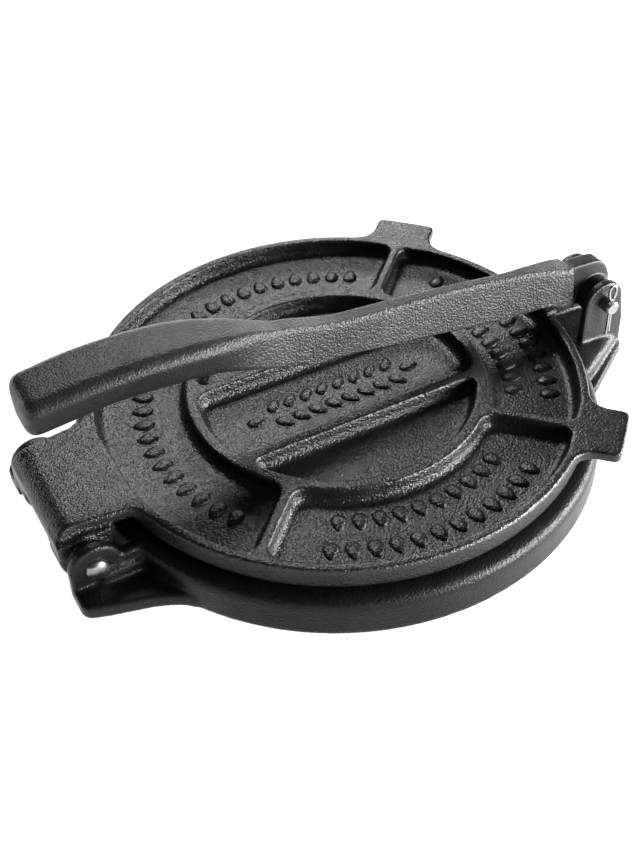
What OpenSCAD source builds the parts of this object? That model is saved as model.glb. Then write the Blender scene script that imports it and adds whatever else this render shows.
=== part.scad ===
// Hand press for flat dough rounds: a cast iron base and a hinged cast iron plate,
// pressed together by a folding lever. Millimetres, +Z up, origin at the middle of
// the base's underside. The plate is hinged at -X, the lever at +X, both along Y.

/* [Pressing plates] */
// Diameter of the top plate
plate_d = 203; // [180:1:230]
// How far the base stands out past the top plate
base_lip = 5.8; // [3:0.1:10]
// Height of the base's side wall
base_h = 17.8; // [16:0.1:24]
// Rounding of the base's top edge
base_edge_r = 4.5; // [1:0.1:6]
// Thickness of the base's pressing slab
base_slab = 4.6; // [4:0.1:8]
// Width of the base's outer wall on the underside
base_wall = 9; // [7:0.1:14]
// Diameter of the foot in the middle of the base's underside
base_hub_d = 44; // [30:1:60]
// Step up from the base's edge to its pressing face
press_rise = 1.2; // [0.6:0.1:2]
// How far the pressing face stays inside the top plate's edge
press_inset = 4.5; // [3:0.1:10]
// Gap between the two closed pressing faces
press_gap = 0.3; // [0.3:0.05:0.8]

/* [Top plate casting] */
// Height of the top plate's rim, ribs and ring
plate_h = 9.4; // [7:0.1:13]
// Thickness of the top plate under its pockets
plate_floor = 3.2; // [2.5:0.1:4]
// Width of the rim round the top plate
rim_w = 4.4; // [3:0.1:8]
// Middle diameter of the inner ring
ring_d = 117.6; // [105:0.1:125]
// Width of the inner ring
ring_w = 5.6; // [3:0.1:8]
// Width of the panel between the two straight bars
panel_w = 40.2; // [30:0.1:50]
// Width of each straight bar
bar_w = 4; // [3:0.1:6]
// Width of the four slanted ribs
rib_w = 4.1; // [3:0.1:8]

/* [Lifting tabs] */
// Width of each lifting tab
tab_w = 26.4; // [14:0.1:34]
// How far a tab stands out from the rim
tab_out = 15.2; // [8:0.1:20]
// Thickness of a tab
tab_t = 4.6; // [3:0.1:6]
// Corner radius of a tab
tab_r = 2.6; // [1:0.1:5]
// Radius of the hollow corners where a tab meets the rim
tab_fillet = 9; // [4:0.1:12]
// Direction of the tabs and ribs from the lever side
tab_angle = 45; // [35:1:55]

/* [Plate hinge] */
// Distance of the plate's hinge pin outside the base's edge
hinge_out = 11.2; // [10.9:0.1:16]
// Height of the plate's hinge pin
hinge_z = 14; // [12:0.1:15]
// Outer radius of the ears round the plate's hinge pin
ear_r = 10.5; // [8:0.1:11]
// Thickness of each of these ears
ear_t = 4.6; // [3.5:0.1:7]
// Clear width between these ears
ear_gap = 58.8; // [50:0.1:66]
// Play of the plate's knuckles between the ears, on each side
ear_play = 0.5; // [0.3:0.1:1]
// Height of the foot flanges under the ears
foot_h = 6.5; // [4:0.1:8]
// How far a foot flange stands out from its ear at the end of the base
foot_out = 9.6; // [6:0.1:14]
// How much wider a foot flange is where it meets the round base
foot_flare = 9.4; // [4:0.1:14]
// Rounding of the foot flange's corner
foot_r = 5; // [2:0.1:8]

/* [Lug of the top plate] */
// Width of the lug
lug_w = 50.8; // [40:0.1:52]
// How far the lug's middle lies towards the back, off the plate's middle
lug_shift = 1.6; // [0:0.1:2]
// How far the lug reaches past the hinge pin
lug_over = 11.4; // [10:0.1:13]
// Thickness of the lug's top wall
lug_t = 5.5; // [4:0.1:6]
// Rounding of the lug's upper end
lug_nose = 9; // [5:0.1:10]
// Width of each knuckle under the lug
knuckle_w = 13.5; // [10:0.1:18]
// Outer radius of the knuckles
knuckle_r = 9.8; // [7:0.1:10]

/* [Lever hinge] */
// Distance of the lever's hinge pin outside the base's edge
lever_out = 16.5; // [16:0.1:22]
// Height of the lever's hinge pin over the top plate
lever_rise = 1.3; // [0.5:0.1:4]
// Outer radius of the lever's ears
fork_r = 10.4; // [9:0.1:12]
// Thickness of each of the lever's ears
fork_t = 4; // [3.5:0.1:6]
// Clear width between the lever's ears
fork_gap = 18; // [16:0.1:24]
// Play of the lever's boss between its ears, on each side
fork_play = 0.4; // [0.3:0.1:1]
// Height of the tongue under the lever's ears
tongue_h = 11.4; // [9:0.1:13]
// Height of the edge round the tongue
tongue_edge = 5.5; // [4:0.1:7]
// Width of the tongue at its end
tongue_w = 33; // [28:0.1:40]
// Width of the tongue where it leaves the round base
tongue_root_w = 68; // [50:0.1:80]

/* [Lever] */
// Length of the lever from its pin to the end of the grip
lever_len = 251.6; // [235:0.1:262]
// Half of the arm's width beside the hinge
arm_half = 5.6; // [4:0.1:7]
// Half of the arm's width at its waist
waist_half = 2.7; // [2.2:0.1:4]
// Half of the knuckle's width between the ears
web_half = 3.8; // [3:0.1:5]
// Radius of the boss round the lever's pin
boss_r = 8.2; // [7:0.1:8.8]
// Width of the grip
grip_w = 26.4; // [20:0.1:32]
// Height of the grip's section
grip_h = 17.8; // [14:0.1:19]
// Height of the grip's underside over the top plate
grip_lift = 34.5; // [32:0.1:40]
// Length of the grip's full section
grip_len = 50; // [40:0.1:60]
// Width of the pressing foot under the arm
press_foot_w = 17.4; // [12:0.1:24]
// Gap between the pressing foot and the plate's rim
press_foot_gap = 0.3; // [0.3:0.05:0.6]

/* [Pins] */
// Diameter of both hinge pins
pin_d = 6.3; // [5:0.1:7]
// Running clearance round a pin, on the radius
pin_fit = 0.05; // [0.02:0.01:0.1]
// Diameter of a pin's domed head
head_d = 9.2; // [8:0.1:11]
// Height of a pin's domed head
head_h = 2.4; // [1.5:0.1:4]
// How far a pin stands out past its second ear
pin_tail = 6; // [5:0.1:9]
// Distance of the split pin from the pin's end
cross_in = 1.9; // [1.8:0.1:2.6]
// Wire diameter of the split pins
wire_d = 1.2; // [1:0.05:1.5]
// Play of a split pin in its cross hole
split_play = 0.2; // [0.1:0.05:0.4]
// Length of the lever hinge's split pin past its hinge pin's axis
split_legs = 14.2; // [8:0.1:16]
// Length of the plate hinge's split pin past its hinge pin's axis
hinge_split_legs = 9.4; // [7:0.1:10]
// Reach of a split pin's eye from the hinge pin's axis
split_eye = 12.2; // [10:0.1:15]
// Outer width of a split pin's eye
eye_w = 4.6; // [4:0.1:6]
// Tilt of the plate hinge's split pin from the vertical, its eye towards the base
split_tilt = 88; // [80:1:90]

/* [Hidden] */
$fn = 96;
eps = 0.01;

plate_r = plate_d / 2;
base_r = plate_r + base_lip;
press_r = plate_r - press_inset;
press_z = base_h + press_rise;
plate_z = press_z + press_gap;
top_z = plate_z + plate_h;
floor_z = plate_z + plate_floor;

hinge_x = -(base_r + hinge_out);
lever_x = base_r + lever_out;
lever_z = top_z + lever_rise;

ear_in = ear_gap / 2;
ear_out = ear_in + ear_t;
fork_in = fork_gap / 2;
fork_outer = fork_in + fork_t;
foot_end = hinge_x - ear_r;
lug_end = hinge_x - lug_over;
knuckle_out = ear_in - ear_play;
tongue_end = lever_x + fork_r + 1;
bore_d = pin_d + 2 * pin_fit;
split_w = 1.8 * wire_d;
split_hole = split_w + split_play;
iron = "#3b3a3c";
iron_light = "#4a494b";
steel = "#c9cbcd";

// --- plain helpers -------------------------------------------------------

// A bar along Y between two places, centred on x and z.
module rod(x, z, d, y0, y1) {
    translate([x, y1, z]) rotate([90, 0, 0]) cylinder(d = d, h = y1 - y0);
}

// A side outline, drawn as [x, z], carried along Y between two places.
module wall_y(y0, y1) {
    translate([0, y1, 0]) rotate([90, 0, 0]) linear_extrude(y1 - y0) children();
}

// The same on both sides of the middle plane.
module both_y() {
    children();
    mirror([0, 1, 0]) children();
}

// --- base ----------------------------------------------------------------

// Half section of the round base, turned about Z.
module base_round() {
    rotate_extrude($fn = 180) {
        square([base_r - base_edge_r, base_h]);
        square([base_r, base_h - base_edge_r]);
        translate([base_r - base_edge_r, base_h - base_edge_r]) circle(base_edge_r);
        square([press_r, press_z]);
    }
}

// Hollow under the pressing slab, round the middle foot.
module base_hollow() {
    translate([0, 0, -eps])
        difference() {
            cylinder(r = base_r - base_wall, h = press_z - base_slab + eps, $fn = 180);
            cylinder(d = base_hub_d, h = press_z);
        }
}

// Plan of one foot flange, from the ear to the round base.
module foot_plan() {
    y_end = ear_out + foot_out - foot_r;
    root_y = y_end + foot_flare + foot_r;
    polygon([[foot_end, ear_in], [foot_end, y_end], [foot_end + foot_r, y_end + foot_r],
             [-0.923 * base_r, root_y], [-0.811 * base_r, root_y + foot_r],
             [-0.643 * base_r, y_end], [-0.643 * base_r, ear_in]]);
    translate([foot_end + foot_r, y_end]) circle(foot_r);
}

// Side outline of an ear with the wall that ties it to the round base.
module ear_side() {
    translate([hinge_x, hinge_z]) circle(ear_r);
    translate([foot_end, 0]) square([2 * ear_r, hinge_z]);
    translate([hinge_x, 0]) square([hinge_out + 2.8 * base_edge_r, base_h - 1]);
}

module plate_hinge_ears() {
    both_y() {
        linear_extrude(foot_h) foot_plan();
        wall_y(ear_in, ear_out) ear_side();
    }
}

// Plan of the tongue that carries the lever's ears, drawn inset from its edge.
module tongue_plan(inset) {
    root_x = base_r * 0.88;
    corner = 2;
    translate([root_x, -tongue_root_w / 2 + inset])
        square([base_r + 1 - root_x, tongue_root_w - 2 * inset]);
    root_y = tongue_root_w / 2 - inset;
    end_y = tongue_w / 2 - inset * 0.3;
    polygon([[base_r, root_y], [tongue_end - corner, end_y], [tongue_end, end_y - corner],
             [tongue_end, corner - end_y], [tongue_end - corner, -end_y], [base_r, -root_y]]);
}

// Side outline of a lever ear: round over the pin, down to the tongue.
module fork_side() {
    translate([lever_x, lever_z]) circle(fork_r);
    polygon([[lever_x - fork_r, lever_z], [lever_x - fork_r, 1], [tongue_end, 1],
             [tongue_end, tongue_h], [lever_x + fork_r, lever_z]]);
}

module lever_ears() {
    linear_extrude(tongue_edge) tongue_plan(0);
    linear_extrude(tongue_h) tongue_plan(5);
    both_y() wall_y(fork_in, fork_outer) fork_side();
}

module base_casting() {
    color(iron)
        difference() {
            union() {
                base_round();
                plate_hinge_ears();
                lever_ears();
            }
            base_hollow();
            rod(hinge_x, hinge_z, bore_d, -ear_out - 1, ear_out + 1);
            rod(lever_x, lever_z, bore_d, -fork_outer - 1, fork_outer + 1);
        }
}

// --- top plate -----------------------------------------------------------

// One of the four curved pockets, between the rim, the ring and two ribs.
module outer_pocket_plan(from, to) {
    r_in = (ring_d + ring_w) / 2;
    r_out = plate_r - rim_w;
    difference() {
        circle(r_out, $fn = 180);
        circle(r_in, $fn = 180);
        for (a = [from, to])
            rotate(a) translate([0, -rib_w / 2]) square([plate_r, rib_w]);
        rotate(to) translate([-plate_r, 0]) square([2 * plate_r, plate_r]);
        rotate(from) translate([-plate_r, -plate_r]) square([2 * plate_r, plate_r]);
    }
}

// Everything inside the ring: two straight sided pockets and the middle panel.
module inner_pocket_plan() {
    difference() {
        circle((ring_d - ring_w) / 2, $fn = 180);
        both_y() translate([-plate_r, panel_w / 2]) square([plate_d, bar_w]);
    }
}

module pockets() {
    translate([0, 0, floor_z])
        linear_extrude(plate_h) {
            outer_pocket_plan(-tab_angle, tab_angle);
            outer_pocket_plan(tab_angle, 180 - tab_angle);
            outer_pocket_plan(180 - tab_angle, 180 + tab_angle);
            outer_pocket_plan(180 + tab_angle, 360 - tab_angle);
            inner_pocket_plan();
        }
}

// The hollow corner on one side of a tab, tangent to the rim and to the tab.
module tab_corner() {
    side = tab_w / 2;
    y = side + tab_fillet;
    x = sqrt(pow(plate_r + tab_fillet, 2) - pow(y, 2));
    k = plate_r / (plate_r + tab_fillet);
    difference() {
        polygon([[x * k, y * k], [x, side], [x, side - 1], [plate_r - rim_w, side - 1]]);
        translate([x, y]) circle(tab_fillet);
    }
}

// A lifting tab, level with the top of the rim.
module lifting_tab() {
    reach = plate_r + tab_out;
    translate([0, 0, top_z - tab_t])
        linear_extrude(tab_t) {
            translate([plate_r - rim_w, -tab_w / 2]) square([tab_out + rim_w - tab_r, tab_w]);
            translate([plate_r, -tab_w / 2 + tab_r]) square([tab_out, tab_w - 2 * tab_r]);
            for (s = [-1, 1]) {
                translate([reach - tab_r, s * (tab_w / 2 - tab_r)]) circle(tab_r);
            }
            both_y() tab_corner();
        }
}

// Side outline of the lug's top and end walls.
module lug_side() {
    end_z = hinge_z + 4;
    root_x = -plate_r + rim_w;
    difference() {
        union() {
            translate([lug_end + lug_nose, top_z - lug_t])
                square([root_x - lug_end - lug_nose, lug_t]);
            translate([lug_end + lug_nose, top_z - lug_nose]) circle(lug_nose);
            translate([lug_end, end_z]) square([lug_nose, top_z - lug_nose - end_z]);
        }
        translate([lug_end + lug_t, 0]) square([plate_r, top_z - lug_t]);
    }
}

// Side outline of a knuckle: round about the pin, straight up to the lug's top.
module knuckle_side() {
    translate([hinge_x, hinge_z]) circle(knuckle_r);
    translate([hinge_x - knuckle_r, hinge_z]) square([2 * knuckle_r, top_z - lug_t - hinge_z + eps]);
}

// The lug with its two knuckles, which reach down between the base's ears.
module lug() {
    inner = knuckle_out - 2.4 - knuckle_w;
    wall_y(lug_shift - lug_w / 2, lug_shift + lug_w / 2) lug_side();
    both_y() {
        wall_y(inner, inner + knuckle_w) knuckle_side();
        rod(hinge_x, hinge_z, 2 * knuckle_r - 4, inner, knuckle_out);
    }
}

module top_plate() {
    color(iron_light)
        difference() {
            union() {
                translate([0, 0, plate_z]) cylinder(r = plate_r, h = plate_h, $fn = 180);
                for (s = [-1, 1]) rotate(s * tab_angle) lifting_tab();
                lug();
            }
            pockets();
            rod(hinge_x, hinge_z, bore_d, -ear_gap, ear_gap);
        }
}

// --- lever ---------------------------------------------------------------

// Stations of the arm as [distance back from the pin, height over the plate], both as
// shares of the lever's length. The arm's lower side passes just over the plate's rim.
arm_top = [[0.0457, 0.0711], [0.1272, 0.0831], [0.2107, 0.097], [0.3696, 0.1161], [0.4928, 0.1276],
           [0.5525, 0.1375], [0.6041, 0.1566], [0.6598, 0.1773]];
arm_low = [[0.6598, 0.1153], [0.6041, 0.0898], [0.5604, 0.0711], [0.5405, 0.0632], [0.4928, 0.06],
           [0.3736, 0.0405], [0.2504, 0.0195], [0.1709, 0.0079]];
rim_reach = lever_x - plate_r;
arm_root = 0.0457 * lever_len;

// Side outline of the arm, from the knuckle to the start of the grip.
module arm_side() {
    over = 0.0044 * lever_len;
    sides = [for (p = concat(arm_top, arm_low)) [lever_x - p[0] * lever_len, top_z + p[1] * lever_len]];
    root = [[plate_r - 0.09 * rim_reach, top_z + over], [plate_r + 0.1 * rim_reach, top_z - 0.7 * over],
            [lever_x - arm_root, top_z - 3 * over]];
    polygon(concat(sides, root));
}

// Plan of the arm: wide beside the hinge, slim at the waist, wider to the grip.
module arm_plan() {
    half = [[0.0457, arm_half], [0.0874, arm_half * 0.86], [0.1272, arm_half * 0.61],
            [0.2067, waist_half], [0.3696, waist_half * 1.15], [0.4928, waist_half * 1.4],
            [0.5803, waist_half * 1.55], [0.6598, grip_w * 0.265]];
    edge = [for (p = half) [lever_x - p[0] * lever_len, p[1]]];
    both_y() polygon(concat(edge, [[edge[len(edge) - 1][0], -1], [edge[0][0], -1]]));
}

// Side outline of the knuckle between the ears.
module web_side() {
    high = 0.0711 * lever_len;
    shape = [[-arm_root * 1.04, -0.17 * high], [-arm_root * 1.04, high * 0.98],
             [-0.12 * boss_r, high * 0.93], [0.37 * boss_r, high * 0.84],
             [0.83 * boss_r, high * 0.58], [0.98 * boss_r, high * 0.28], [boss_r, lever_rise],
             [0, lever_rise - 0.6 * boss_r]];
    polygon([for (p = shape) [lever_x + p[0], top_z + p[1]]]);
    translate([lever_x, lever_z]) circle(boss_r);
}

// One station of the grip: a section with round sides, at a distance from the pin.
module grip_station(d, mid, width, height) {
    r = height / 2;
    side = min(r, width / 2);
    for (s = [-1, 1])
        translate([lever_x - d, s * (width / 2 - side), top_z + mid])
            scale([1, side / r, 1]) sphere(r, $fn = 32);
}

// The grip: a broad rounded bar that narrows and drops into the arm.
module grip() {
    mid = grip_lift + grip_h / 2;
    stations = [[0.48 * grip_h, mid - 0.05 * grip_h, grip_w, 0.96 * grip_h],
                [0.6 * grip_len, mid, grip_w, grip_h],
                [1.24 * grip_len, mid - 0.05 * grip_h, 0.96 * grip_w, 0.97 * grip_h],
                [1.63 * grip_len, mid - 0.34 * grip_h, 0.7 * grip_w, 0.96 * grip_h],
                [1.94 * grip_len, mid - 0.66 * grip_h, 0.41 * grip_w, 0.95 * grip_h]];
    for (i = [1 : len(stations) - 1])
        hull() for (p = [stations[i - 1], stations[i]]) grip_station(lever_len - p[0], p[1], p[2], p[3]);
}

// Foot under the arm that bears on the plate's rim.
module press_foot() {
    back = lever_x - plate_r + rim_w;
    translate([lever_x - back, -press_foot_w / 2, top_z + press_foot_gap])
        cube([rim_w - 0.2, press_foot_w, 3.4]);
}

module lever_handle() {
    color(iron_light)
        difference() {
            union() {
                intersection() {
                    wall_y(-grip_w, grip_w) arm_side();
                    linear_extrude(2 * top_z + grip_lift + grip_h) arm_plan();
                }
                wall_y(-web_half, web_half) web_side();
                rod(lever_x, lever_z, 2 * boss_r, -fork_in + fork_play, fork_in - fork_play);
                press_foot();
                grip();
            }
            rod(lever_x, lever_z, bore_d, -fork_gap, fork_gap);
        }
}

// --- pins ----------------------------------------------------------------

// A headed pin along Y, with its head beyond -y and a cross hole near +y.
module headed_pin(y, tilt) {
    dome_r = (head_h * head_h + head_d * head_d / 4) / (2 * head_h);
    difference() {
        union() {
            rod(0, 0, pin_d, -y, y + pin_tail);
            intersection() {
                rod(0, 0, head_d, -y - head_h, -y);
                translate([0, dome_r - y - head_h, 0]) sphere(dome_r, $fn = 64);
            }
        }
        rotate([0, tilt, 0]) translate([0, y + pin_tail - cross_in, -pin_d])
            cylinder(d = split_hole, h = 2 * pin_d);
    }
}

// A split pin along Z: two legs side by side under a long eye.
module split_pin(legs) {
    $fn = 32;
    ring_r = (eye_w - wire_d) / 2;
    leg_x = (split_w - wire_d) / 2;
    high_z = split_eye - eye_w / 2;
    low_z = pin_d / 2 + eye_w / 2 + 0.1;
    for (s = [-1, 1]) {
        translate([s * leg_x, 0, -legs + (s + 1) * wire_d / 2])
            cylinder(d = wire_d, h = legs + low_z - ring_r * 0.95);
        translate([s * ring_r, 0, low_z]) cylinder(d = wire_d, h = high_z - low_z);
    }
    translate([0, 0, high_z]) rotate([90, 0, 0])
        rotate_extrude(angle = 180) translate([ring_r, 0]) circle(d = wire_d);
    translate([0, 0, low_z]) rotate([90, 180, 0])
        rotate_extrude(angle = 180) translate([ring_r, 0]) circle(d = wire_d);
}

module plate_hinge_pin() {
    color(steel) translate([hinge_x, 0, hinge_z]) headed_pin(ear_out, split_tilt);
}

module lever_hinge_pin() {
    color(steel) translate([lever_x, 0, lever_z]) mirror([0, 1, 0]) headed_pin(fork_outer, 0);
}

module plate_split_pin() {
    color(steel)
        translate([hinge_x, ear_out + pin_tail - cross_in, hinge_z])
            rotate([0, split_tilt, 0]) split_pin(hinge_split_legs);
}

module lever_split_pin() {
    color(steel)
        translate([lever_x, -(fork_outer + pin_tail - cross_in), lever_z]) split_pin(split_legs);
}

base_casting();
top_plate();
lever_handle();
plate_hinge_pin();
lever_hinge_pin();
plate_split_pin();
lever_split_pin();
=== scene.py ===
"""Cast iron hand press for flat dough rounds: the looks of its three castings and its pins.

Shapes are given in millimetres in the part's frame: Z up from the worktop, +X towards the
lever's hinge, both hinge pins along Y. Every shape is a numpy surface; each casting is then
made one skin, as it leaves the mould, with soft edges and filled corners.
"""

import bpy
import numpy as np
from mathutils import Matrix, Vector


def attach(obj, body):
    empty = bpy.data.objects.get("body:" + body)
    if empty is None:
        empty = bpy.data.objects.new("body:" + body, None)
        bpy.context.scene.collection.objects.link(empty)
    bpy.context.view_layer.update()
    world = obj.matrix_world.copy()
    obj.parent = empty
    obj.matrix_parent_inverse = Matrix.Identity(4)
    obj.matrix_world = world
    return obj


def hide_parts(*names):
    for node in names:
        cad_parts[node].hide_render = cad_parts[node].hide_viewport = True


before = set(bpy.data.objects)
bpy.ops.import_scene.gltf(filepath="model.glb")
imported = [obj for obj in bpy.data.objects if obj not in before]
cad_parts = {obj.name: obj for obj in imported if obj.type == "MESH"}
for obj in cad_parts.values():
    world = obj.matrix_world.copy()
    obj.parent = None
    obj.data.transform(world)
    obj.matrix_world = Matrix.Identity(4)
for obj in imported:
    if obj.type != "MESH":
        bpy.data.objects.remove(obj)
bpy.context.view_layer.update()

MM = 0.001
TAU = 2 * np.pi

# Heights and places that the castings share with the solids, to within 0.2 mm.
TOP = 28.7                      # top of the rim, ribs and ring
POCKET_FLOOR = 22.3             # floor of the pockets in the top plate
PLATE_BOTTOM = 19.35            # the plate's pressing face
PLATE_R = 101.5
PRESS_TOP = 18.9                # the base's pressing face
SLAB_UNDER = 14.4               # underside of the base's slab
BASE_H = 17.8                   # top of the base's side wall
BASE_R = 107.3
HINGE = (-118.5, 14.0)          # x and z of the plate's pin
LEVER = (123.8, 30.0)           # x and z of the lever's pin
PIN_R = 3.15
EAR_IN, EAR_OUT = 29.4, 34.0    # the ears that carry the plate's pin, across Y
FORK_IN, FORK_OUT = 9.0, 13.1   # the ears that carry the lever's pin, across Y

# How the castings are drawn.
BORE_R = 3.45                   # wider than the real bore, so that the casting stays off the pin
EAR_BORE = 1.0                  # all four ears are drawn almost closed, as their pins stay put
NEAR_FLAT = 0.05                # how close to a flat face's height a point counts as on it
THINNED = 0.98                  # share of the points in a flat face that can go


# --- surfaces ------------------------------------------------------------

def skin(rows, ring=False):
    """Faces over a grid of points whose columns close round. With ring, the last row joins the
    first, as on a tyre; otherwise each end row closes on its own middle point."""
    rows = np.asarray(rows, float)
    n, m = rows.shape[:2]
    at = np.arange(n * m).reshape(n, m)
    if ring:
        at = np.vstack([at, at[:1]])
    a, b = at[:-1], at[1:]
    quads = np.stack([a, np.roll(a, -1, 1), np.roll(b, -1, 1), b], -1).reshape(-1, 4)
    points = rows.reshape(-1, 3)
    if ring:
        return points, [quads]
    caps = []
    for k, row in enumerate((0, n - 1)):
        loop = at[row] if k else at[row][::-1]
        middle = np.full(m, n * m + k)
        caps.append(np.stack([loop, np.roll(loop, -1), middle], -1))
        points = np.vstack([points, rows[row].mean(0)])
    return points, [quads] + caps


def outward(points, faces):
    """The faces turned over where they point into the volume that they close off."""
    fans = np.vstack([f[:, [0, k, k + 1]] for f in faces for k in range(1, f.shape[1] - 1)])
    a, b, c = points[fans].transpose(1, 0, 2)
    return [f[:, ::-1] for f in faces] if (a * np.cross(b, c)).sum() < 0 else faces


def build(name, shells):
    """One mesh object from several skins, given in millimetres, with all faces outwards."""
    points, faces, start = [], [], 0
    for shell_points, shell_faces in shells:
        points.append(shell_points * MM)
        faces += [f + start for f in outward(shell_points, shell_faces)]
        start += len(shell_points)
    points = np.vstack(points)
    sizes = np.concatenate([np.full(len(f), f.shape[1]) for f in faces])
    corners = np.concatenate([f.ravel() for f in faces])
    mesh = bpy.data.meshes.new(name)
    mesh.vertices.add(len(points))
    mesh.vertices.foreach_set("co", points.ravel())
    mesh.loops.add(len(corners))
    mesh.loops.foreach_set("vertex_index", corners)
    mesh.polygons.add(len(sizes))
    mesh.polygons.foreach_set("loop_start", np.concatenate([[0], np.cumsum(sizes)[:-1]]))
    mesh.update(calc_edges=True)
    mesh.validate()
    piece = bpy.data.objects.new(name, mesh)
    bpy.context.scene.collection.objects.link(piece)
    return piece


def shade(piece, angle=40):
    """Smooth shading, with edges sharper than the angle kept crisp."""
    mesh = piece.data
    mesh.polygons.foreach_set("use_smooth", np.ones(len(mesh.polygons), bool))
    mesh.set_sharp_from_angle(angle=np.radians(angle))
    mesh.update()


def finished(raw):
    """Points in millimetres and faces of an object once its modifiers are applied; the object
    itself is removed."""
    bpy.context.view_layer.update()
    done = raw.evaluated_get(bpy.context.evaluated_depsgraph_get())
    mesh = bpy.data.meshes.new_from_object(done)
    points = np.empty(len(mesh.vertices) * 3)
    mesh.vertices.foreach_get("co", points)
    corners = np.empty(len(mesh.loops), int)
    mesh.loops.foreach_get("vertex_index", corners)
    sizes = np.empty(len(mesh.polygons), int)
    mesh.polygons.foreach_get("loop_total", sizes)
    of_face = np.repeat(sizes, sizes)
    faces = [corners[of_face == k].reshape(-1, k) for k in np.unique(sizes)]
    bpy.data.objects.remove(raw)
    bpy.data.meshes.remove(mesh)
    return points.reshape(-1, 3) / MM, faces


def cast(name, shells, voxel, soften, flat=None, extra=()):
    """The overlapping skins become one, voxel millimetres fine, and are then relaxed so that
    edges round over and inner corners fill, as in a sand mould. flat says of each point whether
    it lies well inside a broad flat face, where the mesh is thinned out to a few triangles.
    extra skins are added after."""
    raw = build(name + "_raw", shells)
    melt = raw.modifiers.new("one skin", "REMESH")
    melt.mode = "VOXEL"
    melt.voxel_size = voxel * MM
    relax = raw.modifiers.new("soft edges", "SMOOTH")
    relax.factor, relax.iterations = 0.5, soften
    one = finished(raw)
    if flat:
        spare = flat(*one[0].T)
        raw = build(name + "_even", [one])
        raw.vertex_groups.new(name="flats").add(np.flatnonzero(spare).tolist(), 1.0, "REPLACE")
        thin = raw.modifiers.new("thin flats", "DECIMATE")
        thin.vertex_group = "flats"
        thin.ratio = 1 - THINNED * spare.mean()
        one = finished(raw)
    piece = build(name, [one] + list(extra))
    shade(piece, 60)
    return piece


def turned(profile, x=0.0, z=0.0, along="z", columns=240):
    """A closed profile of (radius, height) pairs turned about Z, or about Y through (x, z)."""
    r, h = np.array(profile, float).T
    a = np.arange(columns) / columns * TAU
    u, v = np.outer(r, np.cos(a)), np.outer(r, np.sin(a))
    w = np.outer(h, np.ones(columns))
    return skin(np.stack([x + u, v, z + w] if along == "z" else [x + u, w, z - v], -1))


def rounded(corners, radii, steps=10):
    """A closed path through corners, each cut by an arc of its radius that touches both sides."""
    p = np.array(corners, float)
    r = np.broadcast_to(radii, len(p))[:, None]
    back = np.roll(p, 1, 0) - p
    ahead = np.roll(p, -1, 0) - p
    back /= np.linalg.norm(back, axis=1, keepdims=True)
    ahead /= np.linalg.norm(ahead, axis=1, keepdims=True)
    half = np.arccos(np.clip((back * ahead).sum(1, keepdims=True), -1, 1)) / 2
    middle = back + ahead
    middle /= np.maximum(np.linalg.norm(middle, axis=1, keepdims=True), 1e-9)
    centre = p + middle * r / np.sin(half)
    start = p + back * r / np.tan(half) - centre
    stop = p + ahead * r / np.tan(half) - centre
    t = np.linspace(0, 1, steps)[None, :, None]
    bow = start[:, None] * (1 - t) + stop[:, None] * t
    bow *= r[:, None] / np.maximum(np.linalg.norm(bow, axis=2, keepdims=True), 1e-9)
    return (centre[:, None] + bow).reshape(-1, 2)


def spaced(path, step):
    """The same closed path with a point about every step along it."""
    closed = np.vstack([path, path[:1]])
    run = np.concatenate([[0], np.cumsum(np.linalg.norm(np.diff(closed, axis=0), axis=1))])
    s = np.arange(0, run[-1], step)
    return np.stack([np.interp(s, run, closed[:, 0]), np.interp(s, run, closed[:, 1])], 1)


def slab(path, low, high, edge=1.0, plane="xy", step=1.5):
    """A closed path given a thickness from low to high, its edges rounded by insetting the path
    along its own normals on a quarter circle. low and high may be functions of the path's
    two coordinates. plane says which two coordinates the path is in."""
    p = spaced(path, step)
    tangent = np.roll(p, -1, 0) - np.roll(p, 1, 0)
    tangent /= np.maximum(np.linalg.norm(tangent, axis=1, keepdims=True), 1e-9)
    area = (p[:, 0] * np.roll(p[:, 1], -1) - p[:, 1] * np.roll(p[:, 0], -1)).sum()
    inward = np.stack([-tangent[:, 1], tangent[:, 0]], 1) * np.sign(area)
    q = np.radians([0, 30, 60, 90])
    inset = np.concatenate([edge * (1 - np.sin(q)), edge * (1 - np.sin(q[::-1]))])
    lift = np.concatenate([edge * (1 - np.cos(q)), -edge * (1 - np.cos(q[::-1]))])
    rows = []
    for k, (i, d) in enumerate(zip(inset, lift)):
        u, v = (p + inward * i).T
        level = low if k < len(q) else high
        w = (level(u, v) if callable(level) else np.full(len(u), float(level))) + d
        rows.append(np.stack([u, v, w] if plane == "xy" else [u, w, v], -1))
    return skin(rows)


def eye_slab(outline, radius, bore, centre, y0, y1, edge=0.8, columns=180):
    """A plate standing across Y with a bore through it. Its outline is a circle of the given
    radius about the bore, pushed out to the outline's corners where these lie further out."""
    a = np.arange(columns) / columns * TAU
    reach = np.full(columns, float(radius))
    if len(outline):
        p = np.array(outline, float)
        t = np.linspace(0, 1, 60)[None, :, None]
        p = (p[:, None] * (1 - t) + np.roll(p, -1, 0)[:, None] * t).reshape(-1, 2)
        angle = np.arctan2(p[:, 1], p[:, 0]) % TAU
        order = np.argsort(angle)
        far = np.interp(a, angle[order], np.linalg.norm(p, axis=1)[order], period=TAU)
        reach = np.maximum(reach, far)
    rows = [(bore, y0), (reach - edge, y0), (reach - edge * 0.3, y0 + edge * 0.3),
            (reach, y0 + edge), (reach, y1 - edge), (reach - edge * 0.3, y1 - edge * 0.3),
            (reach - edge, y1), (bore, y1)]
    grid = [np.stack([centre[0] + r * np.cos(a), np.full(columns, float(y)),
                      centre[1] + r * np.sin(a)], -1) for r, y in rows]
    return skin(grid, ring=True)


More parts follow.
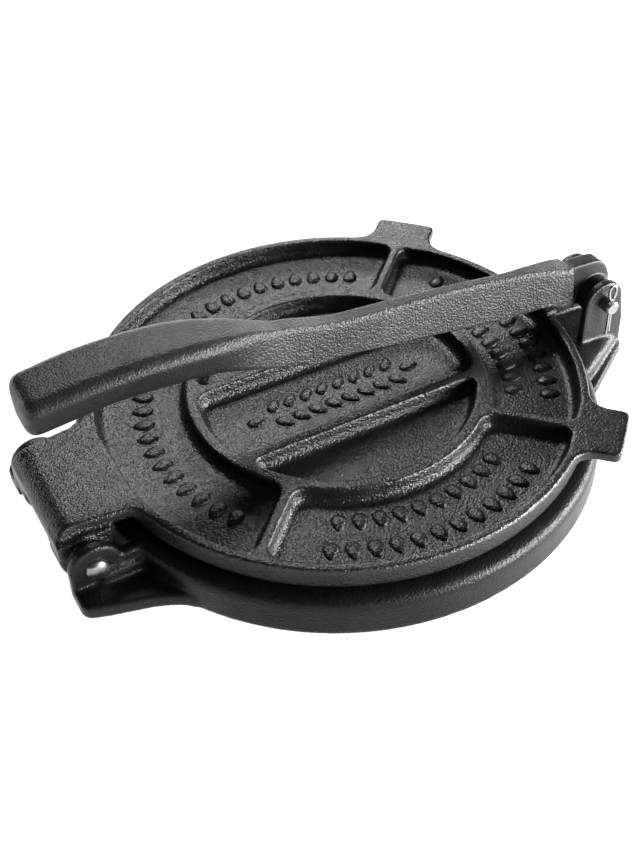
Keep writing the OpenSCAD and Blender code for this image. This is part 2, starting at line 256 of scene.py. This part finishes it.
def tube(path, radius, columns=12, loop=False):
    """A round wire along a path: circles square to the path, capped at both ends, or joined
    end to end where the path is a loop."""
    p = np.array(path, float)
    t = np.roll(p, -1, 0) - np.roll(p, 1, 0) if loop else np.gradient(p, axis=0)
    t /= np.linalg.norm(t, axis=1, keepdims=True)
    side = np.cross(t, [0.0, 1.0, 0.0])
    side /= np.maximum(np.linalg.norm(side, axis=1, keepdims=True), 1e-9)
    up = np.cross(side, t)
    a = np.arange(columns) / columns * TAU
    grid = (p[:, None] + radius * (np.cos(a)[None, :, None] * side[:, None]
                                   + np.sin(a)[None, :, None] * up[:, None]))
    return skin(grid, ring=loop)


def flow(x, xs, ys):
    """A smooth curve through the stations (cubic pieces that share their slopes)."""
    xs, ys = np.array(xs, float), np.array(ys, float)
    slope = np.gradient(ys, xs)
    k = np.clip(np.searchsorted(xs, x) - 1, 0, len(xs) - 2)
    h = xs[k + 1] - xs[k]
    t = np.clip((x - xs[k]) / h, 0, 1)
    return ((2 * t**3 - 3 * t**2 + 1) * ys[k] + (t**3 - 2 * t**2 + t) * h * slope[k]
            + (3 * t**2 - 2 * t**3) * ys[k + 1] + (t**3 - t**2) * h * slope[k + 1])


def inside(distances, radius):
    """How far a point is inside several walls at once, the corners between them rounded."""
    d = np.stack(distances)
    corner = radius - np.linalg.norm(np.maximum(radius - d, 0), axis=0)
    return np.where(d.min(0) > radius, d.min(0), corner)


# --- materials -----------------------------------------------------------

def linear(code):
    """sRGB hex to linear red, green, blue and alpha 1."""
    c = np.array([int(code[i:i + 2], 16) for i in (1, 3, 5)]) / 255
    return (*np.where(c <= 0.04045, c / 12.92, ((c + 0.055) / 1.055) ** 2.4), 1.0)


def add(tree, kind, settings=None, links=None):
    """One node with its settings and its incoming links, as input name: output socket."""
    node = tree.nodes.new(kind)
    for key, value in (settings or {}).items():
        if isinstance(key, str) and hasattr(node, key):
            setattr(node, key, value)
        else:
            node.inputs[key].default_value = value
    for key, socket in (links or {}).items():
        tree.links.new(socket, node.inputs[key])
    return node


def new_material(name):
    """An empty node material and its tree."""
    material = bpy.data.materials.new(name)
    material.use_nodes = True
    material.node_tree.nodes.clear()
    return material, material.node_tree


# Sizes of what the irons' surface shows. The sand's grain is nearer 0.4 mm; it is drawn twice
# as coarse and deeper than it is, because it would not show otherwise.
GRIT, LUMP, CLOUD = 0.9 * MM, 6 * MM, 35 * MM
LUMP_DEPTH = 0.1 * MM
RAMP_REACH = 150                # millimetres to either side that the ramp of wear and painted light covers


def seasoned_iron(name, dark, light, rough, grit_depth, metal=0.5, wear_and_painted_light=((0, 1, 1, 1),)):
    """Grey cast iron from a sand mould under a baked skin of oil: nearly black, half glossy, with
    leathery grit under 1 mm across that glitters, and shallow lumps some 6 mm across. Deeper grit
    breaks the gloss up further. The skin of oil is partly see-through, so the iron counts as
    metal by about half. The last argument gives the shares of grit, gloss and lightness at places
    along X; the lightness share is painted light and shade."""
    material, tree = new_material(name)
    place = add(tree, "ShaderNodeTexCoord").outputs["Object"]
    grit = add(tree, "ShaderNodeTexNoise", {"Scale": 1 / GRIT, "Detail": 2.0, "Roughness": 0.6},
               {"Vector": place})
    wrinkle = add(tree, "ShaderNodeTexVoronoi",
                  {"Scale": 1 / GRIT, "feature": "SMOOTH_F1", "Smoothness": 0.3},
                  {"Vector": place})
    lumps = add(tree, "ShaderNodeTexNoise", {"Scale": 1 / LUMP, "Detail": 3.0}, {"Vector": place})
    cloud = add(tree, "ShaderNodeTexNoise", {"Scale": 1 / CLOUD, "Detail": 4.0}, {"Vector": place})
    tone = add(tree, "ShaderNodeValToRGB", links={0: cloud.outputs[0]})
    tone.color_ramp.elements[0].position, tone.color_ramp.elements[1].position = 0.35, 0.7
    tone.color_ramp.elements[0].color = linear(dark)
    tone.color_ramp.elements[1].color = linear(light)
    along = add(tree, "ShaderNodeSeparateXYZ", links={0: place})
    reach = add(tree, "ShaderNodeMapRange",
                {"From Min": -RAMP_REACH * MM, "From Max": RAMP_REACH * MM},
                {0: along.outputs["X"]})
    # A ramp along X: shares of grit and gloss, and a share of lightness that is painted light and
    # shade.
    wear_and_light = add(tree, "ShaderNodeValToRGB", links={0: reach.outputs[0]})
    for x, *shares in wear_and_painted_light:
        stop = wear_and_light.color_ramp.elements.new((x + RAMP_REACH) / (2 * RAMP_REACH))
        stop.color = (*shares, 1.0)
    wear_and_light.color_ramp.elements.remove(wear_and_light.color_ramp.elements[0])
    wear_and_light.color_ramp.elements.remove(wear_and_light.color_ramp.elements[-1])
    share = add(tree, "ShaderNodeSeparateColor", links={0: wear_and_light.outputs[0]})
    sheen = add(tree, "ShaderNodeMapRange", {"From Min": 0.3, "From Max": 0.7,
                                             "To Min": rough - 0.04, "To Max": rough + 0.06},
                {0: lumps.outputs[0]})
    gloss = add(tree, "ShaderNodeMath", {"operation": "MULTIPLY", 1: 0.5}, {0: share.outputs[1]})
    mix = add(tree, "ShaderNodeMath", {"operation": "MULTIPLY_ADD", 1: -0.5},
              {0: wrinkle.outputs[0], 2: grit.outputs[0]})
    fine = add(tree, "ShaderNodeBump", {"Distance": grit_depth * MM},
               {"Height": mix.outputs[0], "Strength": share.outputs[0]})
    broad = add(tree, "ShaderNodeBump", {"Strength": 1.0, "Distance": LUMP_DEPTH},
                {"Height": lumps.outputs[0], "Normal": fine.outputs[0]})
    # The iron's tone made lighter or darker by the lightness share: painted light and shade along
    # X.
    tone_and_painted_light = add(tree, "ShaderNodeVectorMath", {"operation": "SCALE"},
                    {0: tone.outputs[0], "Scale": share.outputs[2]})
    shader = add(tree, "ShaderNodeBsdfPrincipled", {"Metallic": metal},
                 {"Base Color": tone_and_painted_light.outputs[0], "Roughness": sheen.outputs[0],
                  "Specular IOR Level": gloss.outputs[0], "Normal": broad.outputs[0]})
    add(tree, "ShaderNodeOutputMaterial", links={0: shader.outputs[0]})
    return material


PATCH, PATCH_DEPTH = 2.5 * MM, 0.08 * MM    # width and depth of the plating's dull patches


def zinc_steel(name, rough):
    """Mild steel with a bright zinc plating: a pale grey metal that shines, with faint dull
    patches where the plating has weathered."""
    material, tree = new_material(name)
    place = add(tree, "ShaderNodeTexCoord").outputs["Object"]
    patches = add(tree, "ShaderNodeTexNoise", {"Scale": 1 / PATCH, "Detail": 4.0},
                  {"Vector": place})
    tone = add(tree, "ShaderNodeValToRGB", links={0: patches.outputs[0]})
    tone.color_ramp.elements[0].color = linear("#6d6c6b")
    tone.color_ramp.elements[1].color = linear("#a3a3a2")
    sheen = add(tree, "ShaderNodeMapRange", {"From Min": 0.3, "From Max": 0.7,
                                             "To Min": rough - 0.06, "To Max": rough + 0.08},
                {0: patches.outputs[0]})
    bump = add(tree, "ShaderNodeBump", {"Strength": 0.3, "Distance": PATCH_DEPTH},
               {"Height": patches.outputs[0]})
    shader = add(tree, "ShaderNodeBsdfPrincipled", {"Metallic": 1.0},
                 {"Base Color": tone.outputs[0], "Roughness": sheen.outputs[0],
                  "Normal": bump.outputs[0]})
    add(tree, "ShaderNodeOutputMaterial", links={0: shader.outputs[0]})
    return material


# The base's round wall is duller than its two hinge ends, and its end at the lever's hinge is
# lighter than the rest, as painted light. The plate gets smoother and a little duller towards
# that end, and a little darker there as painted shade. The lever's colours are lighter than the
# other castings' as painted light on the blade. The grip is smoothed and dulled by hands, and
# darkened as painted shade. The arm ends in a face that was left rough, and the knuckle past
# it, between the ears, is worn smooth and darkened as painted shade.
base_iron = seasoned_iron(
    "seasoned_cast_iron_base", "#1b191b", "#242226", 0.37, 0.22, 0.62,
    wear_and_painted_light=((-105, 1, 1, 0.65), (-80, 1, 0.55, 0.65), (106, 1, 0.55, 0.65), (113, 1, 1, 1)))
plate_iron = seasoned_iron(
    "seasoned_cast_iron_plate", "#1e1b1d", "#292628", 0.27, 0.38,
    wear_and_painted_light=((20, 1, 1, 1), (72, 0.6, 0.75, 0.9)))
lever_iron = seasoned_iron(
    "seasoned_cast_iron_lever", "#292728", "#363435", 0.40, 0.70,
    wear_and_painted_light=((-60, 0.4, 0.5, 0.45), (-20, 1, 1, 1), (112.2, 1, 1, 1), (113.2, 0.2, 0.3, 0.75)))
pin_steel = zinc_steel("zinc_plated_steel_pin", 0.30)
split_steel = zinc_steel("zinc_plated_steel_wire", 0.24)


def dress(piece, material, body, slot, *nodes):
    """Gives a piece its material and its body, and hides the nodes it stands for. slot is not used.
    """
    piece.data.materials.append(material)
    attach(piece, body)
    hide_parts(*nodes)


# --- base casting --------------------------------------------------------

def base_round():
    """The round base turned from its half section: hollow below, with a foot in the middle."""
    q = np.radians(np.linspace(0, 90, 8))
    r = 4.6
    edge = np.stack([BASE_R - r + r * np.cos(q), BASE_H - r + r * np.sin(q)], 1)
    under = [(6, 0), (20.8, 0), (22, 1.2), (23, 13), (24.5, SLAB_UNDER), (95, SLAB_UNDER),
             (97, 13), (98.3, 1), (99, 0), (106.4, 0), (107.2, 1)]
    over = [(98.4, BASE_H), (97.4, PRESS_TOP), (6, PRESS_TOP)]
    return turned(under + [tuple(p) for p in edge] + over, columns=400)


def base_shells():
    """The round, and on each side of the middle a foot flange, an ear with the web behind it
    and the toe before it, and one of the lever's ears; then the tongue's edge and crest."""
    shells = [base_round()]
    for s in (-1, 1):
        flange = rounded([(-129.0, s * EAR_IN), (-129.0, s * 43.4), (-120, s * 46.3),
                          (-104, s * 50.4), (-98.9, s * 52.4), (-94, s * 55.0), (-89.5, s * 59.4),
                          (-78, s * 52), (-78, s * EAR_IN)], [0.6, 4.6, 20, 20, 8, 8, 3, 3, 1])
        shells.append(slab(flange, 0, 6.5, 1.2))
        y = sorted((s * EAR_IN, s * EAR_OUT))
        leg = [(-10.5, 0), (-10.5, -13.6), (10.5, -13.6), (10.5, 0)]
        shells.append(eye_slab(leg, 10.5, EAR_BORE, HINGE, *y))
        web = rounded([(-112, 1), (-112, 14.5), (-106.5, 17.2), (-92, 18.0), (-92, 1)],
                      [0.5, 2, 3, 1, 1])
        shells.append(slab(web, y[0] - 0.4, y[1] + 0.4, 1.8, "xz"))
        toe = rounded([(-118.5, 1), (-118.5, 12), (-104, 12), (-96, 16.5), (-92, 16.5), (-92, 1)],
                      [1, 3, 4, 1, 1, 1])
        shells.append(slab(toe, *sorted((s * (EAR_OUT - 3), s * 36.2)), 2.0, "xz"))
        fork = [(-9.6, 0), (-10.1, -18), (-10.1, -28), (11.3, -28), (11.3, -13), (9.5, 0)]
        y = sorted((s * FORK_IN, s * FORK_OUT))
        shells.append(eye_slab(fork, 9.5, EAR_BORE, LEVER, *y))
    outline = rounded([(88, -42), (107.5, -34.2), (133.4, -16.2), (135.2, -14), (135.2, 14),
                       (133.4, 16.2), (107.5, 34.2), (88, 42)], [3, 6, 2, 1, 1, 2, 6, 3])
    shells.append(slab(outline, 0, 5.5, 1.0))
    crest = rounded([(88, -34), (107.5, -29.4), (131.5, -14.8), (133.2, -13), (133.2, 13),
                     (131.5, 14.8), (107.5, 29.4), (88, 34)], [3, 6, 2, 1, 1, 2, 6, 3])
    shells.append(slab(crest, 2, lambda x, y: 11.6 - np.clip(x - 107, 0, 40) * 0.07, 4.0))
    return shells


def base_flats(x, y, z):
    """The pressing face and the underside of the round's floor."""
    r = np.hypot(x, y)
    face = (abs(z - PRESS_TOP) < NEAR_FLAT) & (r < 96)
    return face | (abs(z - SLAB_UNDER) < NEAR_FLAT) & (r > 26) & (r < 94)


base = cast("base_casting_iron", base_shells(), 0.81, 4, base_flats)
dress(base, base_iron, "base", "base_iron", "base_casting")


# --- top plate -----------------------------------------------------------

# A pocket's wall: distance inside its edge, and the depth there. It rounds over at the top,
# falls steeply and runs out into the floor on a wide fillet.
POCKET_WALL = ([-0.5, -0.2, 0.05, 0.2, 0.45, 0.75, 1.3, 2.1, 3.1, 4.4],
               [0, 0.1, 0.6, 1.8, 3.4, 4.3, 5.2, 5.9, 6.3, 6.4])
RIB_HALF = 2.05                 # half the width of the slanted ribs


def in_pocket(x, y):
    """Distance inside the rounded walls of the nearest pocket; outside them it is negative."""
    r = np.hypot(x, y)
    slant = [abs(x - y) / np.sqrt(2) - RIB_HALF, abs(x + y) / np.sqrt(2) - RIB_HALF]
    outer = inside([97.4 - r, r - 61.3] + slant, 6)
    sides = inside([56.3 - r, abs(y) - 24.2], 5)
    panel = inside([56.5 - r, 20.0 - abs(y)], 5)
    return np.max([outer, sides, panel], 0)


def plate_round(columns=1500):
    """The plate as rings of points: across its flat underside, up its edge and back over the
    relief of its upper side to the middle."""
    a = np.arange(columns) / columns * TAU
    q = np.radians([90, 60, 30, 0])
    edge = 1.2
    low = [(PLATE_R - edge + edge * np.cos(t), PLATE_BOTTOM + edge - edge * np.sin(t)) for t in q]
    high = [(PLATE_R - edge + edge * np.cos(t), TOP - edge + edge * np.sin(t)) for t in q[::-1]]
    rows = [(r, PLATE_BOTTOM) for r in (4, 30, 60, 90)] + low + high
    grid = [np.stack([r * np.cos(a), r * np.sin(a), np.full(columns, z)], -1) for r, z in rows]
    for r in np.arange(PLATE_R - edge - 0.3, 1, -0.35):
        x, y = r * np.cos(a), r * np.sin(a)
        grid.append(np.stack([x, y, TOP - np.interp(in_pocket(x, y), *POCKET_WALL)], -1))
    return skin(grid)


def lifting_tab(turn):
    """A flat tab on the rim: its sides run into the rim on arcs of radius f that touch it, its
    outer corners have the radius r. w is half its width, and reach is where it ends."""
    w, f, r, reach = 13.2, 9.0, 2.6, 116.7
    u = np.sqrt((PLATE_R + f) ** 2 - (w + f) ** 2)
    rim = np.arctan2(w + f, u)
    a = np.linspace(rim + np.pi, 1.5 * np.pi, 14)
    side = np.stack([u + f * np.cos(a), w + f + f * np.sin(a)], 1)
    b = np.radians(np.linspace(90, 8, 8))
    corner = np.stack([reach - 2.8 + r * np.cos(b), w - r + r * np.sin(b)], 1)
    half = np.vstack([[(PLATE_R * np.cos(rim) - 3.2, w + f * 0.9)], side, corner,
                      [(reach, w * 0.4)]])
    path = np.vstack([half, (half * (1, -1))[::-1]])
    c, s = np.cos(turn), np.sin(turn)
    return slab(path @ np.array([[c, s], [-s, c]]), TOP - 4.7, TOP, 0.9)


def lug_shells():
    """The lug at the hinge end: a top wall with a round nose, an end wall and two knuckles."""
    shells = []
    plan = rounded([(-123, -22.6), (-100, -25.3), (-97.2, -28.4), (-94.9, -34.8), (-92.2, -42.4),
                    (-89.5, -42), (-95.5, -20), (-95.5, 20), (-89.5, 42), (-92.2, 42.4),
                    (-94.9, 34.8), (-97.2, 30.4), (-100, 28.4), (-123, 26.0)],
                   [1, 3, 6, 6, 0.6, 0.6, 9, 9, 0.6, 0.6, 6, 6, 3, 1])
    shells.append(slab(plan, TOP - 5.6, TOP, 1.2))
    top_part = rounded([(-124.2, TOP - 8), (-129.9, TOP - 8.7), (-129.9, TOP), (-100, TOP),
                        (-100, TOP - 5.6), (-122, TOP - 5.6)], [0.5, 0.2, 8.6, 0.2, 0.2, 1])
    wall = rounded([(-129.9, 17.7), (-129.9, TOP - 8), (-124.0, TOP - 6), (-124.0, 17.7)],
                   [0.8, 0.2, 0.2, 0.8])

    def front(x, z):
        """The lug's front side, which leans out downwards."""
        return -22.4 - (TOP - z) * 0.22

    def back(x, z):
        """Its back side, which leans out less."""
        return 25.9 + (TOP - z) * 0.12

    shells.append(slab(top_part, front, back, 1.2, "xz"))
    shells.append(slab(wall, front, back, 1.0, "xz"))
    leg = [(-11.4, 9), (-11.4, 1), (10.2, 0), (10.2, 10)]
    for s in (-1, 1):
        shells.append(eye_slab(leg, 10.2, BORE_R, HINGE, *sorted((s * 13.2, s * 26.4)), 1.0))
        shells.append(eye_slab([], 7.8, BORE_R, HINGE, *sorted((s * 24, s * 28.9)), 0.6))
    return shells


def kernels(places, long=4.6, wide=3.1, high=1.3):
    """Raised drops, like grains of maize: a dome over an egg-shaped outline, narrow at one end,
    its foot sunk into the pocket's floor. places holds x, y and the direction that each narrow
    end points."""
    rings, columns = 3, 12
    a = np.arange(columns) / columns * TAU
    t = np.linspace(0, np.pi / 2, rings + 1)[:-1]
    body = long * np.cos(a)
    girth = wide * np.sin(a) * (1 - 0.32 * np.cos(a))
    rows = [np.stack([body * 1.02, girth * 1.02, np.full(columns, -0.5)], -1)]
    rows += [np.stack([body * np.cos(k), girth * np.cos(k), np.full(columns, high * np.sin(k))], -1)
             for k in t]
    points, faces = skin(rows)
    p = np.array(places, float)
    c, s = np.cos(p[:, 2])[:, None], np.sin(p[:, 2])[:, None]
    x, y, z = points.T
    all_points = np.stack([p[:, :1] + x * c - y * s, p[:, 1:2] + x * s + y * c,
                           np.broadcast_to(z + POCKET_FLOOR - 0.05, (len(p), len(z)))], -1)
    shift = np.arange(len(p))[:, None, None] * len(points)
    return all_points.reshape(-1, 3), [(f[None] + shift).reshape(-1, f.shape[1]) for f in faces]


def arc_places(radius, middle, spread, count):
    """Even places along an arc, each pointing away from the middle of the plate."""
    a = np.radians(np.linspace(middle - spread, middle + spread, count))
    return np.stack([radius * np.cos(a), radius * np.sin(a), a], 1)


def ornament():
    """Bands of maize grains in the curved pockets and a plain sprig in the middle panel."""
    bands = [arc_places(79, 180, 33, 12), arc_places(79, 90, 33, 12)]
    for middle in (0, 270):
        bands += [arc_places(86.5, middle, 30, 12), arc_places(72.5, middle, 28, 10)]
    shells = [kernels(np.vstack(bands))]
    x = np.linspace(-26, 26, 8)
    sprig = [np.stack([x, np.full(8, k * 5.2), np.full(8, k * 0.9)], 1) for k in (-1, 1)]
    shells.append(kernels(np.vstack(sprig + [[(34, 0, 0), (-36, 0, 0)]]), 4.4, 2.6, 1.2))
    return shells


def plate_flats(x, y, z):
    """The pressing face, the floors of the pockets and the top of the lug."""
    under = (abs(z - PLATE_BOTTOM) < NEAR_FLAT) & (np.hypot(x, y) < 97)
    floors = (abs(z - POCKET_FLOOR) < NEAR_FLAT) & (in_pocket(x, y) > 6)
    lug = (abs(z - TOP) < NEAR_FLAT) & (x < -100) & (x > -119) & (abs(y) < 20)
    return under | floors | lug


plate = cast("top_plate_iron", [plate_round(), lifting_tab(np.pi / 4), lifting_tab(-np.pi / 4)]
             + lug_shells(), 0.75, 2, plate_flats, ornament())
dress(plate, plate_iron, "plate", "plate_iron", "top_plate")


# --- lever ---------------------------------------------------------------

# Stations along the lever: place, half width, top, underside, corner radius, and how much the
# section narrows to its underside.
LEVER_STATIONS = np.array([
    (-119.2, 12.6, 79.2, 61.4, 6.0, 0.24), (-106.6, 13.2, 80.4, 62.9, 6.2, 0.24),
    (-96.4, 13.2, 80.85, 63.8, 6.2, 0.24), (-86.3, 13.1, 80.85, 63.7, 6.2, 0.24),
    (-76.1, 12.9, 80.3, 63.1, 6.0, 0.22), (-66.0, 12.4, 79.2, 62.2, 5.8, 0.20),
    (-55.8, 11.3, 77.3, 60.6, 5.4, 0.16), (-45.7, 9.2, 74.6, 57.5, 4.6, 0.10),
    (-35.5, 6.4, 71.3, 53.6, 3.6, 0.04), (-25.4, 4.6, 67.6, 49.6, 2.9, 0),
    (-19.0, 4.3, 66.3, 48.6, 2.7, 0), (-13.0, 4.2, 64.4, 45.0, 2.6, 0),
    (0, 3.9, 61.0, 43.6, 2.5, 0), (10.2, 3.9, 59.8, 42.2, 2.5, 0),
    (20.3, 3.8, 58.9, 40.4, 2.5, 0), (30.5, 3.4, 58.0, 38.6, 2.4, 0),
    (40.6, 3.1, 57.0, 36.8, 2.2, 0), (50.8, 3.0, 56.0, 35.1, 2.2, 0),
    (60.9, 2.8, 54.7, 33.4, 2.1, 0), (71.1, 2.7, 53.2, 31.5, 2.0, 0),
    (81.2, 3.0, 51.8, 30.5, 2.1, 0), (91.4, 3.7, 50.7, 30.1, 2.3, 0),
    (101.5, 4.9, 49.0, 29.9, 2.5, 0), (106, 5.4, 48.2, 28.0, 2.5, 0),
    (112.2, 5.8, 46.6, 25.7, 2.5, 0)])
END_DEPTH, END_RINGS = 8.5, 20  # the blunt end of the grip, past the first station
CREASE_R = 0.9                  # corner radius under the blade


def lever_beam(columns=64):
    """Sections across X, each a rectangle with round corners, lofted along the stations and
    closed by a blunt round end on the grip. From the waist on, where the grip becomes a blade,
    the corners get sharper, and the last sections lean back a little."""
    xs = LEVER_STATIONS[:, 0]
    x = np.linspace(xs[0], xs[-1], 230)
    hw, hi, lo, rc, taper = (flow(x, xs, v) for v in LEVER_STATIONS[:, 1:].T)
    t = np.sin(np.radians(np.linspace(89, 4, END_RINGS)))
    shrink = (1 - t**4) ** (1 / 4)
    x = np.concatenate([xs[0] - END_DEPTH * t, x])
    first = np.ones(END_RINGS)
    mid = np.concatenate([first * (hi[0] + lo[0]) / 2 - 0.8 * t, (hi + lo) / 2])
    hh = np.concatenate([shrink * (hi[0] - lo[0]) / 2, (hi - lo) / 2])
    hw, rc = (np.concatenate([shrink * v[0], v]) for v in (hw, rc))
    taper = np.concatenate([first * taper[0], taper])
    a = (np.arange(columns) + 0.5) / columns * TAU
    c, s = np.cos(a)[None], np.sin(a)[None]
    quarter = columns // 4
    turn = np.round(np.arange(columns) % quarter / (quarter - 1) * 90)
    turn = np.radians(turn + 90 * (np.arange(columns) // quarter))[None]
    blade = np.clip((x + 50) / 25, 0, 1)[:, None]
    low = rc[:, None] * (1 - blade) + CREASE_R * blade
    ry = np.where(s > 0, rc[:, None] * (1 - 0.45 * blade), low)
    rz = np.where(s > 0, rc[:, None] * (1 + 0.1 * blade), low)
    y = np.sign(c) * (hw[:, None] - ry) + ry * np.cos(turn)
    rise = np.sign(s) * (hh[:, None] - rz) + rz * np.sin(turn)
    y *= 1 - taper[:, None] * np.clip(0.5 - rise / np.maximum(hh, 0.1)[:, None], 0, 1.5) / 1.5
    lean = 0.14 * np.clip((x - 98) / 12, 0, 1)[:, None]
    return skin(np.stack([x[:, None] - lean * rise, y, mid[:, None] + rise], -1))


def lever_shells():
    """The beam, its knuckle between the ears, the boss round the pin and the pressing foot."""
    knuckle = [(-12.6, 16.2), (-8.2, 16.1), (-1, 15.7), (2, 15.1), (5, 13.0), (7.2, 9.8),
               (8.6, 5.8), (9.0, 2), (8.0, -3), (0, -6), (-12.6, -4)]
    foot = rounded([(96.9, -8.7), (102.4, -8.7), (102.4, 8.7), (96.9, 8.7)], 1.2)
    return [lever_beam(),
            eye_slab(knuckle, 6, BORE_R, LEVER, -3.6, 3.4, 0.9),
            eye_slab([], 8.2, BORE_R, LEVER, -8.6, 8.6, 0.8),
            slab(foot, 29.05, 31.3, 0.8, step=0.8)]


lever = cast("lever_iron_casting", lever_shells(), 0.46, 2)
dress(lever, lever_iron, "lever", "lever_iron", "lever_handle")


# --- pins ----------------------------------------------------------------

HEAD_R, HEAD_H, CHAMFER = 4.6, 2.4, 0.7
WIRE_R = 0.6
LEG_SIDE = 0.48                 # from the split pin's middle to the middle of each leg


def headed_pin(name, centre, head, tail, node):
    """A pin turned about its own line: domed head outside one ear, chamfered end past the
    other. head and tail are places along Y; the head's side is the sign of their difference."""
    s = np.sign(tail - head)
    dome = np.radians(np.linspace(80, 0, 8))
    top = [(HEAD_R * np.cos(t), head - s * HEAD_H * np.sin(t)) for t in dome]
    profile = top + [(HEAD_R - 0.1, head + s * 0.05), (PIN_R, head + s * 0.05),
                     (PIN_R, tail - s * CHAMFER), (2.5, tail)]
    pin = build(name, [turned(profile, *centre, along="y", columns=64)])
    shade(pin)
    dress(pin, pin_steel, "base", "pin_steel", node)


def split_pin(name, centre, y, tilt, legs, node):
    """Wire doubled over: a long pear-shaped eye, and two legs side by side whose ends are just
    sprung apart. One leg is a wire's width shorter than the other."""
    t = np.arange(60) / 60 * TAU
    wide, low, high = 1.7, 3.5, 12.2
    eye_x = -wide * np.sin(t) * (1 - 0.25 * np.cos(t))
    eye_z = (low + high) / 2 - 0.3 - (high - low) / 2 * 0.86 * np.cos(t)
    eye = np.stack([eye_x, 0 * t, eye_z], 1)
    shells = [tube(eye, WIRE_R, loop=True)]
    for s, length in ((-1, legs), (1, legs - 2 * WIRE_R)):
        z = np.linspace(low + 2 * WIRE_R, -length, 24)
        spring = 0.25 * np.clip(1 - (z + length) / 6, 0, 1) ** 2
        leg = np.stack([s * (LEG_SIDE + spring), 0 * z, z], 1)
        shells.append(tube(leg, WIRE_R))
    c, s = np.cos(tilt), np.sin(tilt)
    placed = [(np.stack([centre[0] + p[:, 0] * c + p[:, 2] * s, y + p[:, 1],
                         centre[1] - p[:, 0] * s + p[:, 2] * c], 1), f) for p, f in shells]
    pin = build(name, placed)
    shade(pin, 60)
    dress(pin, split_steel, "base", "split_pin_steel", node)


headed_pin("plate_hinge_pin_steel", HINGE, -34.0, 40.0, "plate_hinge_pin")
headed_pin("lever_hinge_pin_steel", LEVER, 13.0, -19.0, "lever_hinge_pin")
split_pin("lever_split_pin_wire", LEVER, -17.1, 0.0, 14.2, "lever_split_pin")
split_pin("plate_split_pin_wire", HINGE, 38.1, np.radians(88), 8.0, "plate_split_pin")


# --- floor, light and camera ---------------------------------------------

FLOOR_HALF = 60000.0            # millimetres: so wide that its far edge lies on the horizon


def floor():
    """A white sheet that glows as if lit from below: bright far off, so that it is plain white, and
    dimmer round the press as painted shade, which the press mirrors. A small spot under the lug
    stays dark: a painted shadow where the castings keep the light off."""
    material, tree = new_material("lit_white_sweep")
    place = add(tree, "ShaderNodeTexCoord").outputs["Object"]
    away = add(tree, "ShaderNodeVectorMath", {"operation": "DISTANCE", 1: (-0.12, 0.05, 0.0)},
               {0: place})
    glow = add(tree, "ShaderNodeMapRange", {"From Min": 0.19, "From Max": 0.45, "To Min": 1.0,
                                            "To Max": 5.0}, {0: away.outputs["Value"]})
    # The painted shadow under the lug: the glow falls to nothing near this spot.
    shadow_spot_distance = add(tree, "ShaderNodeVectorMath", {"operation": "DISTANCE", 1: (-0.103, -0.012, 0.0)},
                {0: place})
    shaded = add(tree, "ShaderNodeMapRange", {"From Min": 0.010, "From Max": 0.019},
                 {0: shadow_spot_distance.outputs["Value"]})
    lit = add(tree, "ShaderNodeMath", {"operation": "MULTIPLY"},
              {0: glow.outputs[0], 1: shaded.outputs[0]})
    shader = add(tree, "ShaderNodeBsdfPrincipled",
                 {"Base Color": linear("#7f7f7f"), "Roughness": 0.9, "Specular IOR Level": 0.1,
                  "Emission Color": linear("#ffffff")}, {"Emission Strength": lit.outputs[0]})
    add(tree, "ShaderNodeOutputMaterial", links={0: shader.outputs[0]})
    half = FLOOR_HALF
    points = np.array([(-half, -half, 0), (half, -half, 0), (half, half, 0), (-half, half, 0)])
    sheet = build("light_table", [(points, [np.array([[0, 1, 2, 3]])])])
    sheet.data.materials.append(material)


def softbox(name, place, size, power, target=(0.0, 0.0, 0.02)):
    """A large flat lamp that faces the target: places and sizes in metres, power in watts."""
    lamp = bpy.data.lights.new(name, "AREA")
    lamp.shape = "RECTANGLE"
    lamp.size, lamp.size_y = size
    lamp.energy = power
    box = bpy.data.objects.new(name, lamp)
    box.location = place
    box.rotation_mode = "QUATERNION"
    box.rotation_quaternion = (Vector(target) - Vector(place)).to_track_quat("-Z", "Y")
    bpy.context.scene.collection.objects.link(box)


def camera():
    """The view: turned left, looking down, rolled a little. The lens is given by its length
    in parts of the frame's longer side."""
    turn, tilt, roll = np.radians([-26.901, 42.886, -1.789])
    distance, target = 0.53253, np.array([-0.018622, -0.020923, 0.0287])
    lens_length, long_side = 1365.5, 854
    back = np.array([np.sin(turn) * np.cos(tilt), -np.cos(turn) * np.cos(tilt), np.sin(tilt)])
    right = np.array([np.cos(turn), np.sin(turn), 0.0])
    up = np.cross(back, right)
    right, up = (np.cos(roll) * right + np.sin(roll) * up,
                 np.cos(roll) * up - np.sin(roll) * right)
    lens = bpy.data.cameras.new("camera")
    lens.lens, lens.sensor_width = lens_length / long_side * 36, 36
    eye = bpy.data.objects.new("camera", lens)
    rotation = Matrix(np.column_stack([right, up, back]).tolist()).to_4x4()
    eye.matrix_world = Matrix.Translation(Vector(target + back * distance)) @ rotation
    bpy.context.scene.collection.objects.link(eye)
    bpy.context.scene.camera = eye


# Two soft lights from behind that draw the rims, a wide low one from the right that lights the
# sides, and a little from the front.
floor()
camera()
softbox("softbox_back", (0.18, 0.86, 1.00), (0.45, 0.30), 15)
softbox("softbox_back_right", (0.68, 1.08, 0.50), (0.30, 0.20), 5)
softbox("softbox_right", (0.72, -0.56, 0.155), (1.1, 0.24), 58)
softbox("softbox_front", (0.42, -0.80, 0.30), (0.26, 0.20), 3)

world = bpy.data.worlds.new("pale_room")
world.use_nodes = True
world.node_tree.nodes["Background"].inputs[0].default_value = (1.0, 1.0, 1.0, 1.0)
world.node_tree.nodes["Background"].inputs[1].default_value = 0.08
bpy.context.scene.world = world
bpy.context.scene.view_settings.view_transform = "Standard"
